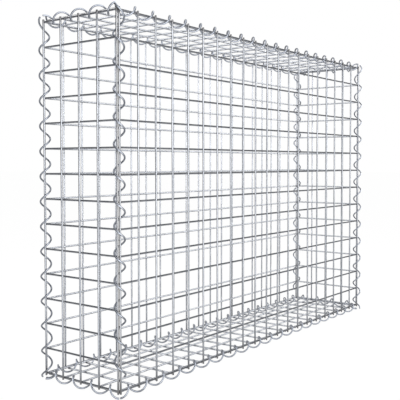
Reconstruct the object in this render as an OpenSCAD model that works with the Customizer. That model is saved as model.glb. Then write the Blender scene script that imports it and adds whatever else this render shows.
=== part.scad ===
// Empty welded-mesh gabion basket. Six flat mesh panels make the box, and a spiral of
// wire wound along each of its twelve edges laces the panels together.
// X runs along the length, the front panel is at -Y, and Z = 0 is the ground.

/* [Basket] */
// Length between the middles of the front panel's edge uprights
basket_l = 1000; // [300:10:1200]
// Depth between the middles of an end panel's edge uprights
basket_w = 200; // [100:10:500]
// Height between the middles of the bottom and the top rows
basket_h = 700; // [200:10:1000]

/* [Mesh] */
// Distance between neighbouring wires, fitted to a whole number of cells on each side
mesh_pitch = 50; // [40:1:70]
// Diameter of the mesh wire
wire_d = 3.8; // [3:0.1:4.5]
// Depth that crossing wires are pressed into each other by the weld
weld_sink = 0.95; // [0.5:0.05:1.3]
// Length of each upright past the middle of the top and bottom rows
upright_tip = 4.5; // [3:0.25:6]
// How far the other wires are cut short of the outer side of the edge wire
cut_back = 0.3; // [0.1:0.05:0.6]

/* [Spirals] */
// Diameter of the spiral wire
spiral_wire_d = 3.5; // [2.5:0.1:4]
// Diameter of a coil, measured to the middle of its wire
coil_d = 20; // [18:0.5:24]
// Height of the top coils' axes above the top rows, and of the bottom ones below
coil_rise = 2.5; // [1.5:0.25:3.5]
// Shift of the left corner coils towards the back, and of the right ones towards the front
coil_lean = 1.4; // [0:0.2:2]

/* [Assembly] */
// Clearance between pieces that rest against each other
seat_gap = 0.3; // [0.2:0.05:0.5]
// Clearance between the edge uprights of two walls at a corner
corner_gap = 0.9; // [0.6:0.1:1.5]

/* [Hidden] */
// Sides of a mesh wire, and of a spiral's wire
wire_sides = 8;
spiral_sides = 6;
// Rings of the spiral's wire in one turn
turn_rings = 8;
galvanised = [0.68, 0.69, 0.72];
bright_wire = [0.60, 0.61, 0.65];

// Cells along each side, and their true size
cells_long = round(basket_l / mesh_pitch);
cells_deep = round(basket_w / mesh_pitch);
cells_high = round(basket_h / mesh_pitch);
pitch_l = basket_l / cells_long;
pitch_w = basket_w / cells_deep;
pitch_h = basket_h / cells_high;

wire_r = wire_d / 2;
spiral_r = spiral_wire_d / 2;
coil_r = coil_d / 2;
// Distance between the two layers of wires in a panel
layer = wire_d - weld_sink;
// Ends of the wires that are cut at the edge of a panel
wire_end = wire_r - cut_back;

// Uprights are on the outside of the walls. Where two walls meet, each one's edge upright
// stands a step out from the other's, and the rows of both end at a slanted cut between them.
corner_step = (wire_d + corner_gap) / sqrt(2);
front_y = basket_w / 2 + corner_step;
front_row_y = front_y - layer;
end_x = basket_l / 2 + corner_step;
end_row_x = end_x - layer;
corner_slant = 45;
corner_cut = corner_step - layer;
row_end = corner_cut + wire_r;

// The lid and the base fit between the rows of the four walls
lid_l = 2 * (end_row_x - wire_d - seat_gap);
lid_w = 2 * (front_row_y - wire_d - seat_gap);
lid_cross_z = basket_h + layer;

// A coil is wound around the edge wires of two panels and rests against one of them
coil_reach = coil_r * cos(180 / turn_rings) - spiral_r;
seat_r = coil_reach - wire_r - seat_gap;
long_seat = sqrt(pow(seat_r, 2) - pow(coil_rise, 2));
top_long_y = front_row_y - long_seat;
base_long_y = lid_w / 2 + long_seat;
end_coil_x = lid_l / 2 + sqrt(pow(seat_r, 2) - pow(layer - coil_rise, 2));
top_coil_z = basket_h + coil_rise;
base_coil_z = -coil_rise;

// Ends of the top coils along the front and the back, at the lid's first and last cross wires
lid_foot = (basket_l - lid_l) / 2;
lid_top = basket_l - lid_foot;
// Lower ends of the corner coils. Two of them stop half a cell up, and the other two run on
// past the bottom row.
corner_foot = pitch_h / 2;
corner_tail = -coil_r;

// Angles of the coils at the first edge wire, each in the plane across its own axis
corner_start = 180;
top_long_start = 90;
base_long_start = 247.5;
top_end_start = 337.5;
base_end_start = 180 - (top_end_start - 360);
left_hand = -1;
right_hand = 1;
front_side = -1;
back_side = 1;

// Height of the bottom rows, so that the lowest rings of the bottom coils stand on the ground
base_long_low = min([for (p = coil_points(0, basket_l, pitch_l, base_long_start, left_hand)) p.y]);
base_end_low = min([for (p = coil_points(0, basket_w, pitch_w, base_end_start, right_hand)) p.x]);
floor_lift = -base_coil_z - min(base_long_low, base_end_low);

// Places for count + 1 wires spread evenly over a span, about its middle
function spread(span, count) = [for (i = [0 : count]) span * (i / count - 1 / 2)];

// A length of mesh wire along Z, about its middle, with flats towards X and Y
module wire(length) {
    rotate([0, 0, 180 / wire_sides])
        cylinder(h = length, d = wire_d / cos(180 / wire_sides), center = true, $fn = wire_sides);
}

// A welded panel in the XY plane: cross wires along Y at Z = 0, and long wires along X below them
module mesh_panel(length, columns, width, rows, cross_tip, long_tip) {
    for (x = spread(length, columns))
        translate([x, 0, 0])
            rotate([90, 0, 0])
                wire(width + 2 * cross_tip);
    for (y = spread(width, rows))
        translate([0, y, -layer])
            rotate([0, 90, 0])
                wire(length + 2 * long_tip);
}

// A block as high as a wall, to cut its row ends at a slant on the right-hand side
module corner_block(length) {
    translate([length / 2 + corner_cut, layer, -upright_tip])
        rotate([0, 0, corner_slant])
            translate([-seat_gap / 2, -wire_d, 0])
                cube([2 * wire_d, 2 * wire_d, basket_h + 2 * upright_tip]);
}

// A wall with its uprights on the outside, its bottom row at Z = 0 and its face towards -Y
module wall(length, columns) {
    difference() {
        translate([0, 0, basket_h / 2])
            rotate([90, 0, 0])
                mesh_panel(length, columns, basket_h, cells_high, upright_tip, row_end);
        corner_block(length);
        mirror([1, 0, 0])
            corner_block(length);
    }
}

// The lid or the base, with its cross wires on the upper side
module flat_panel() {
    mesh_panel(lid_l, cells_long, lid_w, cells_deep, wire_end, wire_end);
}

// Turns a point of a coil along Z to one along X or Y
function along(axis, p) = axis == "x" ? [p.z, p.x, p.y] : axis == "y" ? [p.y, p.z, p.x] : p;

// Rise of a coil for each radian of turn, and length of its wire in that radian
function climb(pitch) = pitch / (2 * PI);
function wind_length(pitch) = sqrt(pow(coil_r, 2) + pow(climb(pitch), 2));

// Points of one ring of a coil's wire, square to the wire and not twisted against the last ring
function ring(height, pitch, start, hand) =
    let (
        wound = hand * 360 * height / pitch,
        angle = start + wound,
        outward = [cos(angle), sin(angle), 0],
        round_about = [-sin(angle), cos(angle), 0],
        slope = climb(pitch) / wind_length(pitch),
        across = slope * round_about - hand * coil_r / wind_length(pitch) * [0, 0, 1]
    )
    [for (side = [0 : spiral_sides - 1])
        let (turn = 360 * side / spiral_sides - wound * slope)
        coil_r * outward + [0, 0, height] + spiral_r * (cos(turn) * outward + sin(turn) * across)];

// Points of a coil about its own axis. Height 0 is at the first edge wire, and one turn fills one cell.
function coil_points(foot, top, pitch, start, hand) =
    let (last_ring = round((top - foot) * turn_rings / pitch))
    [for (i = [0 : last_ring]) each ring(foot + (top - foot) * i / last_ring, pitch, start, hand)];

// Faces of a closed tube, ring after ring, each turning clockwise as seen from outside
function tube_faces(rings) =
    let (
        n = spiral_sides,
        sides = [for (i = [0 : rings - 2], k = [0 : n - 1])
            let (a = i * n + k, b = i * n + (k + 1) % n)
            each [[b + n, b, a], [a + n, b + n, a]]],
        first = [for (k = [1 : n - 2]) [k, k + 1, 0]],
        end = (rings - 1) * n,
        last = [for (k = [1 : n - 2]) [end + k + 1, end + k, end]]
    )
    concat(sides, first, last);

// A spiral binder along an axis. The centre is where its own axis meets the first edge wire,
// given as two places across the axis and one along it.
module spiral(axis, centre, foot, top, pitch, start, hand) {
    points = [for (p = coil_points(foot, top, pitch, start, hand)) along(axis, p + centre)];
    color(bright_wire)
        translate([0, 0, floor_lift])
            polyhedron(points = points, faces = tube_faces(len(points) / spiral_sides));
}

// The spiral up a left-hand corner, against the edge upright of the end panel
module corner_spiral(side, hand, foot) {
    beside = side * corner_step / 2 + coil_lean;
    inward = sqrt(pow(seat_r, 2) - pow(beside, 2));
    centre = [inward - end_x, side * basket_w / 2 + beside, 0];
    spiral("z", centre, foot, basket_h, pitch_h, corner_start, hand);
}

// The spirals along the front, between the front panel and the lid or the base
module top_long_spiral() {
    centre = [-top_long_y, top_coil_z, -basket_l / 2];
    spiral("x", centre, lid_foot, lid_top, pitch_l, top_long_start, left_hand);
}

module base_long_spiral() {
    centre = [-base_long_y, base_coil_z, -basket_l / 2];
    spiral("x", centre, 0, basket_l, pitch_l, base_long_start, left_hand);
}

// The spirals across the left end
module top_end_spiral() {
    centre = [top_coil_z, -end_coil_x, -basket_w / 2];
    spiral("y", centre, 0, basket_w, pitch_w, top_end_start, left_hand);
}

module base_end_spiral() {
    centre = [base_coil_z, -end_coil_x, -basket_w / 2];
    spiral("y", centre, 0, basket_w, pitch_w, base_end_start, right_hand);
}

// The same piece on the other side of the basket, turned half round
module turned() {
    rotate([0, 0, 180])
        children();
}

module front_panel() {
    color(galvanised)
        translate([0, -front_y, floor_lift])
            wall(basket_l, cells_long);
}

module back_panel() {
    turned()
        front_panel();
}

module left_end_panel() {
    color(galvanised)
        translate([-end_x, 0, floor_lift])
            rotate([0, 0, -90])
                wall(basket_w, cells_deep);
}

module right_end_panel() {
    turned()
        left_end_panel();
}

module base_panel() {
    color(galvanised)
        translate([0, 0, floor_lift - layer])
            mirror([0, 0, 1])
                flat_panel();
}

module lid_panel() {
    color(galvanised)
        translate([0, 0, floor_lift + lid_cross_z])
            flat_panel();
}

module front_left_spiral() {
    corner_spiral(front_side, left_hand, corner_foot);
}

module front_right_spiral() {
    turned()
        back_left_spiral();
}

module back_left_spiral() {
    corner_spiral(back_side, right_hand, corner_tail);
}

module back_right_spiral() {
    turned()
        front_left_spiral();
}

module top_front_spiral() {
    top_long_spiral();
}

module top_back_spiral() {
    turned()
        top_long_spiral();
}

module top_left_spiral() {
    top_end_spiral();
}

module top_right_spiral() {
    turned()
        top_end_spiral();
}

module bottom_front_spiral() {
    base_long_spiral();
}

module bottom_back_spiral() {
    turned()
        base_long_spiral();
}

module bottom_left_spiral() {
    base_end_spiral();
}

module bottom_right_spiral() {
    turned()
        base_end_spiral();
}

front_panel();
back_panel();
left_end_panel();
right_end_panel();
base_panel();
lid_panel();
front_left_spiral();
front_right_spiral();
back_left_spiral();
back_right_spiral();
top_front_spiral();
top_back_spiral();
top_left_spiral();
top_right_spiral();
bottom_front_spiral();
bottom_back_spiral();
bottom_left_spiral();
bottom_right_spiral();
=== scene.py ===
# %% [markdown]
# # An empty gabion basket
# The object is a wire box that is filled with stone to make a garden wall. Six mats of welded
# mesh form its sides, and twelve spirals of wire lace the mats together along the edges. The
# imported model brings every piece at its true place, so this lesson starts by loading it, and
# each dressed piece below is made on the spot that its plain piece holds.

# %% Load the frame
import math

import bpy
from mathutils import Matrix, Vector


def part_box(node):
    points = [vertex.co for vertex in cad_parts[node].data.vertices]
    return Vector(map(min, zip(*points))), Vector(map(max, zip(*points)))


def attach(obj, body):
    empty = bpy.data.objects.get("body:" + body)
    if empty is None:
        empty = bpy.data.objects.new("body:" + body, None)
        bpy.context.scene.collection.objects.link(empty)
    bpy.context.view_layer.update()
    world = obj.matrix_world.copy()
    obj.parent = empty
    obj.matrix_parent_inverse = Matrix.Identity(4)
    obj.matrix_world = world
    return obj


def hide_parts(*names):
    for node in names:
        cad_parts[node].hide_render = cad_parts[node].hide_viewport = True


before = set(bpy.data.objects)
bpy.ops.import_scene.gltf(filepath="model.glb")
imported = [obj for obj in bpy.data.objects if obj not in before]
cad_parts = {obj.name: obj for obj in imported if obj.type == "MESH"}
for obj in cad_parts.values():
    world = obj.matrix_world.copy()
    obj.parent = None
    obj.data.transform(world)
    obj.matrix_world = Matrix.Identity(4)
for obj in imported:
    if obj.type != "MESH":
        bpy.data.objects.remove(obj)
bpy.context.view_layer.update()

# %% [markdown]
# ## Sizes
# A maker orders such a basket by its cells. Everything here is counted in cells of fifty
# millimetres and in wire gauges, and the places come from the boxes of the loaded pieces. That
# keeps the dressed pieces on the plain ones if the basket's place ever changes.

# %% Sizes of the basket
MM = 0.001
CELL = 50 * MM
CELLS_LONG = 20
CELLS_DEEP = 4
CELLS_HIGH = 14
WIRE = 3.8 * MM
WELD_SINK = 0.95 * MM
LAYER = WIRE - WELD_SINK
UPRIGHT_TIP = 4.5 * MM
CUT_BACK = 0.3 * MM
EDGE_TIP = WIRE / 2 - CUT_BACK
LENGTH = CELLS_LONG * CELL
DEPTH = CELLS_DEEP * CELL
HEIGHT = CELLS_HIGH * CELL

front_low, front_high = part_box("front_panel")
left_low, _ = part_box("left_end_panel")
lid_low, lid_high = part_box("lid_panel")
base_low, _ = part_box("base_panel")
BOTTOM_ROW = front_low.z + UPRIGHT_TIP
FRONT_Y = front_low.y + WIRE / 2
LEFT_X = left_low.x + WIRE / 2
LID_LENGTH = lid_high.x - lid_low.x - 2 * EDGE_TIP
LID_DEPTH = lid_high.y - lid_low.y - 2 * EDGE_TIP
for label, size in (
        ("front at y", FRONT_Y), ("left end at x", LEFT_X), ("bottom row at z", BOTTOM_ROW),
        ("lid length", LID_LENGTH), ("lid depth", LID_DEPTH)):
    print(label, round(size / MM, 2), "mm")

# %% [markdown]
# ## One straight wire
# Every mat is made of straight lengths of round wire, sheared off at both ends. A cylinder is
# only the start: its rims are bevelled, because a shear leaves a rolled edge and never a crisp
# one, and its long edges are subdivided, so that the finished mat has points that can bow. The
# edges are picked in code by their length, because a new primitive is selected all over. Edge
# select mode is set first: in vertex mode the rim edges between picked points would come along.

# %% Helper: pick objects
def pick_only(*pieces):
    bpy.ops.object.select_all(action="DESELECT")
    for piece in pieces:
        piece.select_set(True)
    bpy.context.view_layer.objects.active = pieces[0]


# %% Helper: pick edges by a test
def pick_edges(wire, wanted):
    bpy.context.tool_settings.mesh_select_mode = (False, True, False)
    mesh = wire.data
    for part in (mesh.vertices, mesh.edges, mesh.polygons):
        part.foreach_set("select", [False] * len(part))
    for edge in mesh.edges:
        first, second = (mesh.vertices[index].co for index in edge.vertices)
        edge.select = wanted(first, second)


# %% Helper: one straight wire
WIRE_SIDES = 14
AROUND_X = (math.pi / 2, 0, 0)
AROUND_Y = (0, math.pi / 2, 0)


def straight_wire(name, length, middle, turn, bends):
    bpy.ops.object.select_all(action="DESELECT")
    bpy.ops.mesh.primitive_cylinder_add(
        vertices=WIRE_SIDES, radius=WIRE / 2, depth=length, location=middle, rotation=turn)
    wire = bpy.context.object
    wire.name = name
    bpy.ops.object.transform_apply(location=True, rotation=True, scale=True)
    pick_edges(wire, lambda first, second: (first - second).length > length / 2)
    bpy.ops.object.mode_set(mode="EDIT")
    bpy.ops.mesh.subdivide(number_cuts=bends)
    bpy.ops.object.mode_set(mode="OBJECT")
    return wire


# %% Helper: round the rims of a wire's sheared ends
RIM = 0.45 * MM
RIM_STEPS = 2
SHARP_RIM = math.radians(35)


def round_rims(wire):
    pick_only(wire)
    bpy.ops.object.mode_set(mode="EDIT")
    bpy.ops.mesh.select_all(action="DESELECT")
    bpy.ops.mesh.edges_select_sharp(sharpness=SHARP_RIM)
    bpy.ops.mesh.bevel(offset=RIM, segments=RIM_STEPS, affect="EDGES")
    bpy.ops.object.mode_set(mode="OBJECT")


# %% [markdown]
# ## A row of like wires
# The wires of a mat lie at one spacing. An Array modifier repeats the first wire, and applying
# it leaves an ordinary mesh. That is quicker than copying by hand, and the spacing stays exact.

# %% Helper: repeat a wire
def repeat(piece, count, step):
    pick_only(piece)
    array = piece.modifiers.new("repeat", "ARRAY")
    array.count = count
    array.use_relative_offset = False
    array.use_constant_offset = True
    array.constant_offset_displace = step
    bpy.ops.object.modifier_apply(modifier=array.name)


# %% [markdown]
# ## The weld at a crossing
# A spot welder presses two wires into each other, and a little metal is squeezed out round the
# spot as a flat collar. A sphere flattened in edit mode gives that collar. It has few sides,
# because the front alone has well over two hundred of them. The edge wires get none: the next
# mat lies so close to them that two collars would cut into each other.

# %% Helper: one weld collar
COLLAR_ACROSS = 2.5 * MM
COLLAR_THICK = 1.0 * MM
COLLAR_SEGMENTS = 8
COLLAR_RINGS = 5


def weld_collar(name, middle):
    bpy.ops.object.select_all(action="DESELECT")
    bpy.ops.mesh.primitive_uv_sphere_add(
        segments=COLLAR_SEGMENTS, ring_count=COLLAR_RINGS, radius=COLLAR_ACROSS, location=middle)
    collar = bpy.context.object
    collar.name = name
    bpy.ops.object.transform_apply(location=True, rotation=True, scale=True)
    bpy.ops.object.mode_set(mode="EDIT")
    bpy.ops.mesh.select_all(action="SELECT")
    bpy.ops.transform.resize(value=(1, 1, COLLAR_THICK / COLLAR_ACROSS), center_override=middle)
    bpy.ops.object.mode_set(mode="OBJECT")
    return collar


# %% [markdown]
# ## A welded mat
# A mat is made flat, as on the maker's bench: cross wires on top, long wires under them, a weld
# collar at each inner crossing. The three sets of shells are then fused with Boolean modifiers,
# so the mat is one closed skin with no faces left inside it, as a welded mat is one piece of
# metal. The rows of a wall start out too long, and a slanted cut brings them to their length, so
# that they clear the rows of the next wall.

# %% Helper: fuse two meshes
def fuse(body, tool):
    pick_only(body)
    union = body.modifiers.new("weld", "BOOLEAN")
    union.operation = "UNION"
    union.solver = "MANIFOLD"
    union.object = tool
    bpy.ops.object.modifier_apply(modifier=union.name)
    bpy.data.objects.remove(tool)


# %% Helper: cut the row ends at a slant
ROW_REACH = front_high.x - WIRE / 2 - LENGTH / 2


def slant_ends(wire, length):
    pick_only(wire)
    cut_x = length / 2 + ROW_REACH
    for side in (-1, 1):
        bpy.ops.object.mode_set(mode="EDIT")
        bpy.ops.mesh.select_all(action="SELECT")
        bpy.ops.mesh.bisect(
            plane_co=(side * cut_x, 0, -LAYER), plane_no=(side, 0, -1), use_fill=True, clear_outer=True)
        bpy.ops.object.mode_set(mode="OBJECT")


# %% Helper: one welded mat, flat on the bench
BENDS_A_CELL = 2
UNCUT_TIP = 2 * WIRE


def welded_mat(name, length, columns, width, rows, cross_tip, slanted):
    column_step = length / columns
    row_step = width / rows
    row_tip = UNCUT_TIP if slanted else EDGE_TIP
    first_x, first_y = -length / 2, -width / 2
    mat = straight_wire(
        name, width + 2 * cross_tip, (first_x, 0, 0), AROUND_X, rows * BENDS_A_CELL)
    round_rims(mat)
    repeat(mat, columns + 1, (column_step, 0, 0))
    long_wire = straight_wire(
        name + "_rows", length + 2 * row_tip, (0, first_y, -LAYER), AROUND_Y, columns * BENDS_A_CELL)
    if slanted:
        slant_ends(long_wire, length)
    round_rims(long_wire)
    repeat(long_wire, rows + 1, (0, row_step, 0))
    collar = weld_collar(name + "_welds", (first_x + column_step, first_y + row_step, -LAYER / 2))
    repeat(collar, columns - 1, (column_step, 0, 0))
    repeat(collar, rows - 1, (0, row_step, 0))
    fuse(mat, long_wire)
    fuse(mat, collar)
    return mat


# %% [markdown]
# ## Marks for the finish
# Heat from the welder leaves a dull ring at each crossing, and a sheared end shows bare steel.
# Both are written into the mesh as attributes, one number a point, which the zinc finish reads
# later. The bench position makes this easy, because the crossings lie on a plain grid there.

# %% Helper: mark the welds and the cut ends
WELD_MARK = 5.5 * MM
CUT_MARK = 0.7 * MM


def off_grid(place, step, start):
    return abs((place - start + step / 2) % step - step / 2)


def write_mark(mesh, name, values):
    mark = mesh.attributes.new(name, "FLOAT", "POINT")
    mark.data.foreach_set("value", values)


def mark_mat(mat, length, columns, width, rows):
    points = [point.co.copy() for point in mat.data.vertices]
    reach_x = max(point.x for point in points) - CUT_MARK
    reach_y = max(point.y for point in points) - CUT_MARK
    welds = []
    cuts = []
    for point in points:
        across = off_grid(point.x, length / columns, -length / 2)
        upward = off_grid(point.y, width / rows, -width / 2)
        welds.append(max(0.0, 1 - math.hypot(across, upward) / WELD_MARK))
        cuts.append(float(abs(point.x) > reach_x or abs(point.y) > reach_y))
    write_mark(mat.data, "weld", welds)
    write_mark(mat.data, "cut", cuts)


# %% [markdown]
# ## Standing the mats up
# The walls are turned up from the bench and set at their places, with the uprights outside. Each
# object's turn and move are then applied, so that its place is in its mesh, as on the plain
# pieces. The opposite wall is a copy that is turned half round the middle of the basket.

# %% Helper: set a piece at its place
def set_at(piece, place):
    piece.matrix_world = place
    pick_only(piece)
    bpy.ops.object.transform_apply(location=True, rotation=True, scale=True)


# %% Helper: copy a piece to the opposite side
HALF_TURN = Matrix.Rotation(math.pi, 4, "Z")


def opposite(piece, name):
    pick_only(piece)
    bpy.ops.object.duplicate(linked=False)
    copy = bpy.context.object
    copy.name = name
    set_at(copy, HALF_TURN)
    return copy


# %% The long walls
STAND_UP = Matrix.Rotation(math.pi / 2, 4, "X")
WALL_MIDDLE = BOTTOM_ROW + HEIGHT / 2

front_mesh = welded_mat("front_mesh", LENGTH, CELLS_LONG, HEIGHT, CELLS_HIGH, UPRIGHT_TIP, True)
mark_mat(front_mesh, LENGTH, CELLS_LONG, HEIGHT, CELLS_HIGH)
set_at(front_mesh, Matrix.Translation((0, FRONT_Y, WALL_MIDDLE)) @ STAND_UP)
back_mesh = opposite(front_mesh, "back_mesh")
print("front mesh:", len(front_mesh.data.polygons), "faces")

# %% The end walls
QUARTER_LEFT = Matrix.Rotation(-math.pi / 2, 4, "Z")

left_end_mesh = welded_mat("left_end_mesh", DEPTH, CELLS_DEEP, HEIGHT, CELLS_HIGH, UPRIGHT_TIP, True)
mark_mat(left_end_mesh, DEPTH, CELLS_DEEP, HEIGHT, CELLS_HIGH)
set_at(left_end_mesh, Matrix.Translation((LEFT_X, 0, WALL_MIDDLE)) @ QUARTER_LEFT @ STAND_UP)
right_end_mesh = opposite(left_end_mesh, "right_end_mesh")
print("end mesh:", len(left_end_mesh.data.polygons), "faces")

# %% The lid and the base
UPSIDE_DOWN = Matrix.Rotation(math.pi, 4, "X")

lid_mesh = welded_mat("lid_mesh", LID_LENGTH, CELLS_LONG, LID_DEPTH, CELLS_DEEP, EDGE_TIP, False)
mark_mat(lid_mesh, LID_LENGTH, CELLS_LONG, LID_DEPTH, CELLS_DEEP)
pick_only(lid_mesh)
bpy.ops.object.duplicate(linked=False)
base_mesh = bpy.context.object
base_mesh.name = "base_mesh"
set_at(lid_mesh, Matrix.Translation((0, 0, lid_high.z - WIRE / 2)))
set_at(base_mesh, Matrix.Translation((0, 0, base_low.z + WIRE / 2)) @ UPSIDE_DOWN)
print("lid mesh:", len(lid_mesh.data.polygons), "faces")

# %% [markdown]
# ## Wires that are not quite straight
# Drawn wire keeps a little of the curve of its coil, so no mat is a perfect grid. A Displace
# modifier with a soft cloud pattern bows each wall by less than half a wire. A vertex group
# holds the rims still, because the spirals lace them there.

# %% Bow the mats
BOW = 1.6 * MM
BOW_SPREAD = 0.16
HELD_RIM = 0.09
MIDDLE_GREY = 0.5

bow_clouds = bpy.data.textures.new("bow_clouds", "CLOUDS")
bow_clouds.noise_scale = BOW_SPREAD


def bow(mat, across, facing):
    low = [min(point.co[axis] for point in mat.data.vertices) for axis in across]
    high = [max(point.co[axis] for point in mat.data.vertices) for axis in across]
    slack = mat.vertex_groups.new(name="slack")
    for point in mat.data.vertices:
        inset = min(
            min(point.co[axis] - near, far - point.co[axis])
            for axis, near, far in zip(across, low, high))
        slack.add([point.index], min(1.0, inset / HELD_RIM), "REPLACE")
    pick_only(mat)
    waves = mat.modifiers.new("bow", "DISPLACE")
    waves.texture = bow_clouds
    waves.texture_coords = "LOCAL"
    waves.direction = facing
    waves.strength = BOW
    waves.mid_level = MIDDLE_GREY
    waves.vertex_group = slack.name
    bpy.ops.object.modifier_apply(modifier=waves.name)
    mat.vertex_groups.clear()


for mat in (front_mesh, back_mesh):
    bow(mat, (0, 2), "Y")
for mat in (left_end_mesh, right_end_mesh):
    bow(mat, (1, 2), "X")
for mat in (lid_mesh, base_mesh):
    bow(mat, (0, 1), "Z")
print("mats bowed by up to", BOW / 2 / MM, "mm")

# %% [markdown]
# ## The spirals
# A binder is a springy coil with one turn to a cell. It is screwed along an edge from one end,
# so that each turn passes round the edge wires of both mats. In Blender a ring of points is
# tilted square to the coil, and a Screw modifier carries it round and along at the same time.
# The two open ends are filled, and their rims are bevelled as the ends of the straight wires.

# %% Helper: wind one spiral about Z
SPIRAL_WIRE = 3.5 * MM
COIL_RADIUS = 10 * MM
SPIRAL_SIDES = 12
STEPS_A_TURN = 28


def wind(name, run, start, hand):
    angle = math.radians(start)
    outward = Vector((math.cos(angle), math.sin(angle), 0))
    climb = CELL / (2 * math.pi * COIL_RADIUS)
    forward = Vector((-hand * math.sin(angle), hand * math.cos(angle), climb))
    forward.normalize()
    ring_turn = Matrix((outward, forward.cross(outward), forward)).transposed().to_euler()
    bpy.ops.object.select_all(action="DESELECT")
    bpy.ops.mesh.primitive_circle_add(
        vertices=SPIRAL_SIDES, radius=SPIRAL_WIRE / 2, location=outward * COIL_RADIUS, rotation=ring_turn)
    spiral = bpy.context.object
    spiral.name = name
    bpy.ops.object.transform_apply(location=True, rotation=True, scale=True)
    turns = run / CELL
    screw = spiral.modifiers.new("wind", "SCREW")
    screw.axis = "Z"
    screw.angle = hand * 2 * math.pi * turns
    screw.screw_offset = run
    screw.steps = round(STEPS_A_TURN * turns)
    screw.render_steps = screw.steps
    bpy.ops.object.modifier_apply(modifier=screw.name)
    return spiral


# %% Helper: close the two ends
SIDES_OF_A_QUAD = 4


def close_ends(spiral):
    pick_only(spiral)
    bpy.ops.object.mode_set(mode="EDIT")
    bpy.ops.mesh.select_all(action="SELECT")
    bpy.ops.mesh.fill_holes(sides=SPIRAL_SIDES)
    bpy.ops.mesh.select_all(action="SELECT")
    bpy.ops.mesh.normals_make_consistent(inside=False)
    bpy.ops.object.mode_set(mode="OBJECT")
    round_rims(spiral)
    ends = [face for face in spiral.data.polygons if len(face.vertices) > SIDES_OF_A_QUAD]
    tips = {index for face in ends for index in face.vertices}
    write_mark(spiral.data, "weld", [0.0] * len(spiral.data.vertices))
    write_mark(spiral.data, "cut", [float(point.index in tips) for point in spiral.data.vertices])


# %% [markdown]
# ## Laying the spirals along the edges
# Each spiral is wound about Z and then turned to lie along its edge. The middle of the plain
# piece's box gives the line that it runs on, and a bottom spiral is kept above the ground. The
# start angles say where the end of the wire shows in the photograph, and left-handed and
# right-handed spirals both occur on the basket. Two corner spirals stop half a cell above the
# bottom row, and the other two run on past it. At the near corner the ends of two bottom spirals
# reach a little past the edge, so that they all but meet in a loop.

# %% Helper: lay a spiral on its edge
TO_X = Matrix(((0, 0, 1, 0), (1, 0, 0, 0), (0, 1, 0, 0), (0, 0, 0, 1)))
TO_Y = Matrix(((0, 1, 0, 0), (0, 0, 1, 0), (1, 0, 0, 0), (0, 0, 0, 1)))
TO_Z = Matrix.Identity(4)


def lay_spiral(name, node, lying, foot, run, start, hand):
    low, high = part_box(node)
    middle = (low + high) / 2
    along = lying.to_3x3() @ Vector((0, 0, 1))
    spiral = wind(name, run, start, hand)
    close_ends(spiral)
    line = middle - along * middle.dot(along)
    if lying is not TO_Z:
        line.z = max(line.z, COIL_RADIUS + SPIRAL_WIRE / 2)
    set_at(spiral, Matrix.Translation(line + along * foot) @ lying)
    return spiral


# %% [markdown]
# ## Ends that spring up
# The top end of a corner binder springs up a little when it is let go, so its last turn is longer
# than the others. Moving the end with proportional editing stretches that turn and leaves the
# rest, which is simpler than winding it with a growing pitch.

# %% Helper: pull a corner spiral's top end up
TOP_PULL = 9 * MM
PULLED_RUN = 42 * MM


def pull_top(spiral):
    pick_only(spiral)
    top = max(point.co.z for point in spiral.data.vertices)
    pick_edges(spiral, lambda first, second: max(first.z, second.z) > top - RIM)
    bpy.ops.object.mode_set(mode="EDIT")
    bpy.ops.transform.translate(
        value=(0, 0, TOP_PULL), use_proportional_edit=True, proportional_edit_falloff="LINEAR",
        proportional_size=PULLED_RUN)
    bpy.ops.object.mode_set(mode="OBJECT")
    new_top = max(point.co.z for point in spiral.data.vertices)
    print(spiral.name, "top end moved up by", round((new_top - top) / MM, 2), "mm")


# %% The corner spirals
LEFT_HAND = -1
RIGHT_HAND = 1
DEGREES_A_TURN = 360
SHORT_FOOT = CELL / 2
LONG_FOOT = -COIL_RADIUS
SHORT_START = 0
LONG_START = DEGREES_A_TURN / 2 + DEGREES_A_TURN * LONG_FOOT / CELL

front_left_coil = lay_spiral(
    "front_left_coil", "front_left_spiral", TO_Z, BOTTOM_ROW + SHORT_FOOT, HEIGHT - SHORT_FOOT,
    SHORT_START, LEFT_HAND)
back_left_coil = lay_spiral(
    "back_left_coil", "back_left_spiral", TO_Z, BOTTOM_ROW + LONG_FOOT, HEIGHT - LONG_FOOT,
    LONG_START, RIGHT_HAND)
pull_top(front_left_coil)
pull_top(back_left_coil)
back_right_coil = opposite(front_left_coil, "back_right_coil")
front_right_coil = opposite(back_left_coil, "front_right_coil")
for coil in (front_left_coil, back_left_coil):
    print(coil.name, len(coil.data.polygons), "faces")

# %% The spirals along the front and the back
LID_INSET = (LENGTH - LID_LENGTH) / 2
TOP_LONG_START = DEGREES_A_TURN / 4 - DEGREES_A_TURN * LID_INSET / CELL
LONG_REACH = 1.6 * MM
EDGE_LONG_ANGLE = 247.5
BASE_LONG_START = EDGE_LONG_ANGLE + DEGREES_A_TURN * LONG_REACH / CELL

top_front_coil = lay_spiral(
    "top_front_coil", "top_front_spiral", TO_X, -LID_LENGTH / 2, LID_LENGTH, TOP_LONG_START, LEFT_HAND)
bottom_front_coil = lay_spiral(
    "bottom_front_coil", "bottom_front_spiral", TO_X, -LENGTH / 2 - LONG_REACH, LENGTH + LONG_REACH,
    BASE_LONG_START, LEFT_HAND)
top_back_coil = opposite(top_front_coil, "top_back_coil")
bottom_back_coil = opposite(bottom_front_coil, "bottom_back_coil")
print("long spiral:", len(bottom_front_coil.data.polygons), "faces")

# %% The spirals across the ends
TOP_END_START = 337.5
END_REACH = 2.1 * MM
EDGE_END_ANGLE = 202.5
BASE_END_START = EDGE_END_ANGLE - DEGREES_A_TURN * END_REACH / CELL

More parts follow.
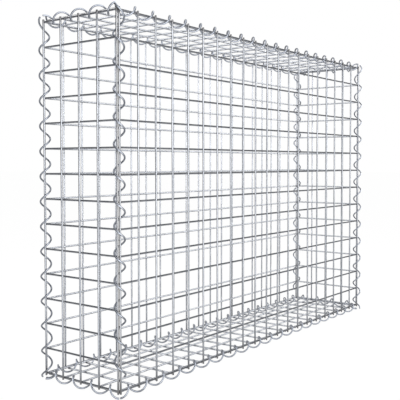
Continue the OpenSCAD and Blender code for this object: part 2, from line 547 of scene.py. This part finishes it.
top_left_coil = lay_spiral(
    "top_left_coil", "top_left_spiral", TO_Y, -DEPTH / 2, DEPTH, TOP_END_START, LEFT_HAND)
bottom_left_coil = lay_spiral(
    "bottom_left_coil", "bottom_left_spiral", TO_Y, -DEPTH / 2 - END_REACH, DEPTH + END_REACH,
    BASE_END_START, RIGHT_HAND)
top_right_coil = opposite(top_left_coil, "top_right_coil")
bottom_right_coil = opposite(bottom_left_coil, "bottom_right_coil")
print("end spiral:", len(top_left_coil.data.polygons), "faces")

# %% [markdown]
# ## The zinc finish
# Galvanised wire is dull silver. Up close it has a fine crystal pattern, softly darker and
# lighter stretches, a chalky bloom where damp has lain, a grey ring at each weld and darker
# steel on a sheared end. The patterns are small groups of nodes on Object coordinates, the ring
# and the bare steel read the marks that were written into the mesh, and all of them are mixed one
# over the other. The roughness follows the bloom too.

# %% Helper: node shorthand
def add_node(tree, kind, **inputs):
    node = tree.nodes.new(kind)
    for name, value in inputs.items():
        node.inputs[name].default_value = value
    return node


def blend_colour(tree, amount, under, over):
    mix = tree.nodes.new("ShaderNodeMix")
    mix.data_type = "RGBA"
    tree.links.new(amount, mix.inputs["Factor"])
    tree.links.new(under, mix.inputs["A"])
    mix.inputs["B"].default_value = over
    return mix.outputs["Result"]


# %% Helper: stretch a value from one range to another
def remap(tree, value, given, wanted):
    ranged = tree.nodes.new("ShaderNodeMapRange")
    tree.links.new(value, ranged.inputs["Value"])
    for socket, number in zip(("From Min", "From Max", "To Min", "To Max"), (*given, *wanted)):
        ranged.inputs[socket].default_value = number
    return ranged.outputs["Result"]


# %% Helper: run from one colour to another
def two_colours(tree, amount, first_at, first, last_at, last):
    ramp = tree.nodes.new("ShaderNodeValToRGB")
    start, end = ramp.color_ramp.elements
    start.position = first_at
    start.color = first
    end.position = last_at
    end.color = last
    tree.links.new(amount, ramp.inputs["Fac"])
    return ramp.outputs["Color"]


# %% Helper: soft stretches with crystals in them
STRETCHES = 9
STRETCH_DETAIL = 3.0
STRETCH_ROUGHNESS = 0.55
CRYSTALS = 420
CRYSTAL_GREYS = (0.2, 0.8)
CRYSTAL_STEPS = (-0.07, 0.07)
DARK_AT, LIGHT_AT = 0.3, 0.72


def zinc_tone(tree, place, dark, light):
    stretches = add_node(
        tree, "ShaderNodeTexNoise", Scale=STRETCHES, Detail=STRETCH_DETAIL, Roughness=STRETCH_ROUGHNESS)
    crystals = add_node(tree, "ShaderNodeTexVoronoi", Scale=CRYSTALS)
    for pattern in (stretches, crystals):
        tree.links.new(place, pattern.inputs["Vector"])
    crystal_grey = tree.nodes.new("ShaderNodeRGBToBW")
    tree.links.new(crystals.outputs["Color"], crystal_grey.inputs["Color"])
    crystal_step = remap(tree, crystal_grey.outputs["Val"], CRYSTAL_GREYS, CRYSTAL_STEPS)
    tone = tree.nodes.new("ShaderNodeMath")
    tree.links.new(stretches.outputs["Fac"], tone.inputs[0])
    tree.links.new(crystal_step, tone.inputs[1])
    return two_colours(tree, tone.outputs["Value"], DARK_AT, dark, LIGHT_AT, light)


# %% Helper: lay a tint where the mesh is marked
def tint_marked(tree, colour, mark_name, given, amount, tint):
    mark = tree.nodes.new("ShaderNodeAttribute")
    mark.attribute_name = mark_name
    return blend_colour(tree, remap(tree, mark.outputs["Fac"], given, (0, amount)), colour, tint)


# %% Helper: a fine grain
GRAIN = 1600
GRAIN_DETAIL = 2.0
GRAIN_STRENGTH = 0.05
GRAIN_DEPTH = 0.1 * MM


def fine_grain(tree, place):
    grain = add_node(tree, "ShaderNodeTexNoise", Scale=GRAIN, Detail=GRAIN_DETAIL)
    tree.links.new(place, grain.inputs["Vector"])
    bumps = add_node(tree, "ShaderNodeBump", Strength=GRAIN_STRENGTH, Distance=GRAIN_DEPTH)
    tree.links.new(grain.outputs["Fac"], bumps.inputs["Height"])
    return bumps.outputs["Normal"]


# %% Helper: one zinc finish
BLOOM = 34
BLOOM_DETAIL = 3.0
BLOOM_ROUGHNESS = 0.6
BLOOM_FROM_TO = (0.56, 0.74)
BLOOM_AMOUNT = 0.55
WELD_FROM_TO = (0.1, 0.8)
WELD_AMOUNT = 0.6
WELD_TINT = (0.18, 0.18, 0.195, 1)
CUT_FROM_TO = (0, 1)
CUT_AMOUNT = 0.7
BARE_STEEL = (0.14, 0.135, 0.13, 1)
DULL_FROM_TO = (0.35, 0.75)
DULLNESS = (0.27, 0.4)
METAL = 0.95


def zinc(name, dark, light, bloom):
    material = bpy.data.materials.new(name)
    material.use_nodes = True
    tree = material.node_tree
    shader = tree.nodes["Principled BSDF"]
    place = tree.nodes.new("ShaderNodeTexCoord").outputs["Object"]
    chalk = add_node(
        tree, "ShaderNodeTexNoise", Scale=BLOOM, Detail=BLOOM_DETAIL, Roughness=BLOOM_ROUGHNESS)
    tree.links.new(place, chalk.inputs["Vector"])
    chalk_amount = remap(tree, chalk.outputs["Fac"], BLOOM_FROM_TO, (0, BLOOM_AMOUNT))
    colour = blend_colour(tree, chalk_amount, zinc_tone(tree, place, dark, light), bloom)
    colour = tint_marked(tree, colour, "weld", WELD_FROM_TO, WELD_AMOUNT, WELD_TINT)
    colour = tint_marked(tree, colour, "cut", CUT_FROM_TO, CUT_AMOUNT, BARE_STEEL)
    dullness = remap(tree, chalk.outputs["Fac"], DULL_FROM_TO, DULLNESS)
    tree.links.new(colour, shader.inputs["Base Color"])
    tree.links.new(dullness, shader.inputs["Roughness"])
    tree.links.new(fine_grain(tree, place), shader.inputs["Normal"])
    shader.inputs["Metallic"].default_value = METAL
    return material


# %% The two finishes
mesh_zinc = zinc(
    "mesh_zinc",
    dark=(0.198, 0.208, 0.227, 1),
    light=(0.282, 0.292, 0.312, 1),
    bloom=(0.35, 0.36, 0.375, 1))
spiral_zinc = zinc(
    "spiral_zinc",
    dark=(0.157, 0.169, 0.195, 1),
    light=(0.228, 0.241, 0.271, 1),
    bloom=(0.295, 0.312, 0.342, 1))
print("finishes:", mesh_zinc.name, spiral_zinc.name)

# %% [markdown]
# ## Handing the pieces over
# Each dressed piece stands for one plain piece. It is shaded smooth except at its rims, gets
# its finish, and rides on the one body of the basket, because nothing on it moves.

# %% Finish every piece
MATS = {
    "front_panel": front_mesh, "back_panel": back_mesh, "left_end_panel": left_end_mesh,
    "right_end_panel": right_end_mesh, "base_panel": base_mesh, "lid_panel": lid_mesh,
}
COILS = {
    "front_left_spiral": front_left_coil, "front_right_spiral": front_right_coil,
    "back_left_spiral": back_left_coil, "back_right_spiral": back_right_coil,
    "top_front_spiral": top_front_coil, "top_back_spiral": top_back_coil,
    "top_left_spiral": top_left_coil, "top_right_spiral": top_right_coil,
    "bottom_front_spiral": bottom_front_coil, "bottom_back_spiral": bottom_back_coil,
    "bottom_left_spiral": bottom_left_coil, "bottom_right_spiral": bottom_right_coil,
}


def hand_over(piece, node, finish):
    pick_only(piece)
    bpy.ops.object.shade_smooth_by_angle(angle=SHARP_RIM)
    piece.data.materials.clear()
    piece.data.materials.append(finish)
    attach(piece, "root")
    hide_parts(node)


for node, mat in MATS.items():
    hand_over(mat, node, mesh_zinc)
for node, coil in COILS.items():
    hand_over(coil, node, spiral_zinc)
pieces = [*MATS.values(), *COILS.values()]
triangles = sum(len(face.vertices) - 2 for piece in pieces for face in piece.data.polygons)
print("pieces:", len(pieces), "triangles:", triangles)

# %% [markdown]
# ## The floor and the background
# The photograph shows the basket on white. The floor is white, and so is the world round it where
# the camera, a mirror or a glass looks at it. Overhead the world is greyer, like the ceiling of a
# studio. Light that only falls on the pieces comes from a separate, plain level of the world.

# %% Helper: is this ray a look at the background?
def looking(tree):
    path = tree.nodes.new("ShaderNodeLightPath")
    camera_or_gloss = tree.nodes.new("ShaderNodeMath")
    camera_or_gloss.operation = "MAXIMUM"
    tree.links.new(path.outputs["Is Camera Ray"], camera_or_gloss.inputs[0])
    tree.links.new(path.outputs["Is Glossy Ray"], camera_or_gloss.inputs[1])
    any_look = tree.nodes.new("ShaderNodeMath")
    any_look.operation = "MAXIMUM"
    tree.links.new(camera_or_gloss.outputs["Value"], any_look.inputs[0])
    tree.links.new(path.outputs["Is Transmission Ray"], any_look.inputs[1])
    return any_look.outputs["Value"]


# %% Helper: show one of two shaders
def choose_shader(tree, amount, under, over, ending):
    choice = tree.nodes.new("ShaderNodeMixShader")
    tree.links.new(amount, choice.inputs["Fac"])
    tree.links.new(under, choice.inputs[1])
    tree.links.new(over, choice.inputs[2])
    tree.links.new(choice.outputs["Shader"], tree.nodes[ending].inputs["Surface"])


# %% The world
AMBIENT = (0.7, 0.7, 0.7, 1)
WHITE = (1, 1, 1, 1)
CEILING = (0.5, 0.51, 0.53, 1)
CEILING_FROM, CEILING_TO = 0.3, 0.7

world = bpy.data.worlds.new("studio")
bpy.context.scene.world = world
world.use_nodes = True
studio = world.node_tree
ambient = studio.nodes["Background"]
ambient.inputs["Color"].default_value = AMBIENT
direction = studio.nodes.new("ShaderNodeTexCoord")
height = studio.nodes.new("ShaderNodeSeparateXYZ")
studio.links.new(direction.outputs["Generated"], height.inputs["Vector"])
seen = studio.nodes.new("ShaderNodeBackground")
overhead = two_colours(studio, height.outputs["Z"], CEILING_FROM, WHITE, CEILING_TO, CEILING)
studio.links.new(overhead, seen.inputs["Color"])
choose_shader(
    studio, looking(studio), ambient.outputs["Background"], seen.outputs["Background"], "World Output")
print("world:", world.name)

# %% The floor
FLOOR_SIZE = 60.0
FLOOR_GLOW = 0.975
FLOOR_COLOUR = (0.95, 0.95, 0.95, 1)
FULLY_ROUGH = 1.0

bpy.ops.object.select_all(action="DESELECT")
bpy.ops.mesh.primitive_plane_add(size=FLOOR_SIZE, location=(0, 0, 0))
floor = bpy.context.object
floor.name = "floor"
pale = bpy.data.materials.new("pale_floor")
pale.use_nodes = True
ground = pale.node_tree
matt = ground.nodes["Principled BSDF"]
matt.inputs["Base Color"].default_value = FLOOR_COLOUR
matt.inputs["Roughness"].default_value = FULLY_ROUGH
glow = ground.nodes.new("ShaderNodeEmission")
share = ground.nodes.new("ShaderNodeMath")
share.operation = "MULTIPLY"
share.inputs[1].default_value = FLOOR_GLOW
ground.links.new(looking(ground), share.inputs[0])
choose_shader(
    ground, share.outputs["Value"], matt.outputs["BSDF"], glow.outputs["Emission"], "Material Output")
floor.data.materials.append(pale)
print("floor:", FLOOR_SIZE, "m")

# %% [markdown]
# ## Two black flags
# A photographer who wants drawing in bright metal sets black cloths beside it, just out of the
# picture. Here one stands at the right of the front and one behind the left end. The level wires
# of the near walls mirror them and turn dark, while the uprights don't. The flags are seen only
# in the metal: they throw no shadow, and no camera looks at them.

# %% The flags
FLAG_TALL = 3.6
FLAG_AWAY = 3.7
RIGHT_FLAG, RIGHT_FLAG_WIDE = 64, 5.2
LEFT_FLAG, LEFT_FLAG_WIDE = -118, 6.2
CLOTH_COLOUR = (0.012, 0.012, 0.015, 1)
NO_SHINE = 0.0

cloth = bpy.data.materials.new("black_cloth")
cloth.use_nodes = True
cloth_look = cloth.node_tree.nodes["Principled BSDF"].inputs
cloth_look["Base Color"].default_value = CLOTH_COLOUR
cloth_look["Roughness"].default_value = FULLY_ROUGH
cloth_look["Specular IOR Level"].default_value = NO_SHINE
for name, bearing, wide in (
        ("right_flag", RIGHT_FLAG, RIGHT_FLAG_WIDE), ("left_flag", LEFT_FLAG, LEFT_FLAG_WIDE)):
    side = math.radians(bearing)
    bpy.ops.object.select_all(action="DESELECT")
    bpy.ops.mesh.primitive_plane_add(
        size=1, location=(FLAG_AWAY * math.sin(side), -FLAG_AWAY * math.cos(side), FLAG_TALL / 2),
        rotation=(math.pi / 2, 0, side))
    flag = bpy.context.object
    flag.name = name
    flag.scale = (wide, FLAG_TALL, 1)
    bpy.ops.object.transform_apply(location=False, rotation=False, scale=True)
    flag.data.materials.append(cloth)
    flag.visible_camera = False
    flag.visible_diffuse = False
    flag.visible_shadow = False
    print("flag:", name, "bearing", bearing)

# %% [markdown]
# ## The lamps
# A wide soft lamp stands on the floor beside the camera. Upright wires mirror it and level wires
# don't. A glowing card on the floor before the near corner does for the lower half of the
# uprights what that lamp does for the upper half, because down there they mirror the floor. A
# lamp overhead lights the tops of the coils. Two more lamps stand at the sides and shine only on
# the far walls, the lid, the base and the spirals at the right, along the back and round the
# bottom, which are paler in the photograph than the near walls. Blender calls this light linking.
# In a studio it would take a screen before each lamp.

# %% Helper: a soft rectangular lamp
def soft_lamp(name, wide, tall, power, place, turn):
    lamp = bpy.data.lights.new(name, "AREA")
    lamp.shape = "RECTANGLE"
    lamp.size = wide
    lamp.size_y = tall
    lamp.energy = power
    stand = bpy.data.objects.new(name, lamp)
    bpy.context.scene.collection.objects.link(stand)
    stand.location = place
    stand.rotation_euler = turn
    stand.visible_camera = False
    print("lamp:", name, wide, "by", tall, "m, power", power)
    return stand


# %% Helper: a lamp that stands on the floor and looks at the basket
LAMP_AWAY = 3.2


def standing_lamp(name, bearing, wide, tall, power):
    angle = math.radians(bearing)
    place = Vector((math.sin(angle), -math.cos(angle), 0)) * LAMP_AWAY + Vector((0, 0, tall / 2))
    basket_middle = Vector((0, 0, HEIGHT / 2))
    turn = (basket_middle - place).to_track_quat("-Z", "Y").to_euler()
    return soft_lamp(name, wide, tall, power, place, turn)


# %% The lamp beside the camera
CAMERA_LAMP_BEARING = -28
CAMERA_LAMP_WIDE = 4.2
CAMERA_LAMP_TALL = 2.3
CAMERA_LAMP_POWER = 160

standing_lamp(
    "right_of_camera", CAMERA_LAMP_BEARING, CAMERA_LAMP_WIDE, CAMERA_LAMP_TALL, CAMERA_LAMP_POWER)

# %% The card on the floor
CARD_LONG = 1.7
CARD_WIDE = 2.2
CARD_POWER = 28
CARD_PLACE = (-0.98, -1.11, 0.005)
CARD_TURN = (math.pi, 0, math.radians(37))

soft_lamp("floor_card", CARD_LONG, CARD_WIDE, CARD_POWER, CARD_PLACE, CARD_TURN)

# %% The lamp overhead
OVERHEAD_SIZE = 2.4
OVERHEAD_PLACE = (0, 0, 2.6)
OVERHEAD_POWER = 50
FACING_DOWN = (0, 0, 0)

soft_lamp("overhead", OVERHEAD_SIZE, OVERHEAD_SIZE, OVERHEAD_POWER, OVERHEAD_PLACE, FACING_DOWN)

# %% The lamps for the far pieces
FAR_RIGHT_BEARING = 52
FAR_LEFT_BEARING = -128
FAR_LAMP_SIZE = 2.8
FAR_LAMP_POWER = 155

far_pieces = bpy.data.collections.new("far_pieces")
for piece in (
        back_mesh, right_end_mesh, lid_mesh, base_mesh, back_right_coil, top_back_coil, top_right_coil,
        bottom_back_coil, bottom_right_coil, bottom_front_coil, bottom_left_coil, front_right_coil):
    far_pieces.objects.link(piece)
for name, bearing in (("right_side", FAR_RIGHT_BEARING), ("left_side", FAR_LEFT_BEARING)):
    far_lamp = standing_lamp(name, bearing, FAR_LAMP_SIZE, FAR_LAMP_SIZE, FAR_LAMP_POWER)
    far_lamp.light_linking.receiver_collection = far_pieces

# %% [markdown]
# ## The camera
# The camera stands off the left front corner, a little above the middle of the basket. Its place
# and lens were found by fitting the corners of the mesh cells to the photograph. The picture was
# cropped a little off its own middle, so the lens is shifted by a few hundredths.

# %% The camera
SENSOR = 36.0
PICTURE = 400
FOCAL_PIXELS = 704.9
MIDDLE_X, MIDDLE_Y = 210.3, 189.15
YAW = math.radians(53.136)
PITCH = math.radians(-2.14)
STAND = Vector((-1427.5, -1004.7, 422.0)) * MM + Vector((0, 0, BOTTOM_ROW))

ahead = Vector((math.sin(YAW) * math.cos(PITCH), math.cos(YAW) * math.cos(PITCH), math.sin(PITCH)))
right = Vector((math.cos(YAW), -math.sin(YAW), 0))
up = right.cross(ahead)

lens = bpy.data.cameras.new("camera")
lens.sensor_width = SENSOR
lens.lens = SENSOR * FOCAL_PIXELS / PICTURE
lens.shift_x = (PICTURE / 2 - MIDDLE_X) / PICTURE
lens.shift_y = (MIDDLE_Y - PICTURE / 2) / PICTURE
camera = bpy.data.objects.new("camera", lens)
bpy.context.scene.collection.objects.link(camera)
camera.matrix_world = Matrix.Translation(STAND) @ Matrix((right, up, -ahead)).transposed().to_4x4()
bpy.context.scene.camera = camera
bpy.context.scene.view_settings.view_transform = "Standard"
print("camera:", lens.lens, "mm at", STAND)
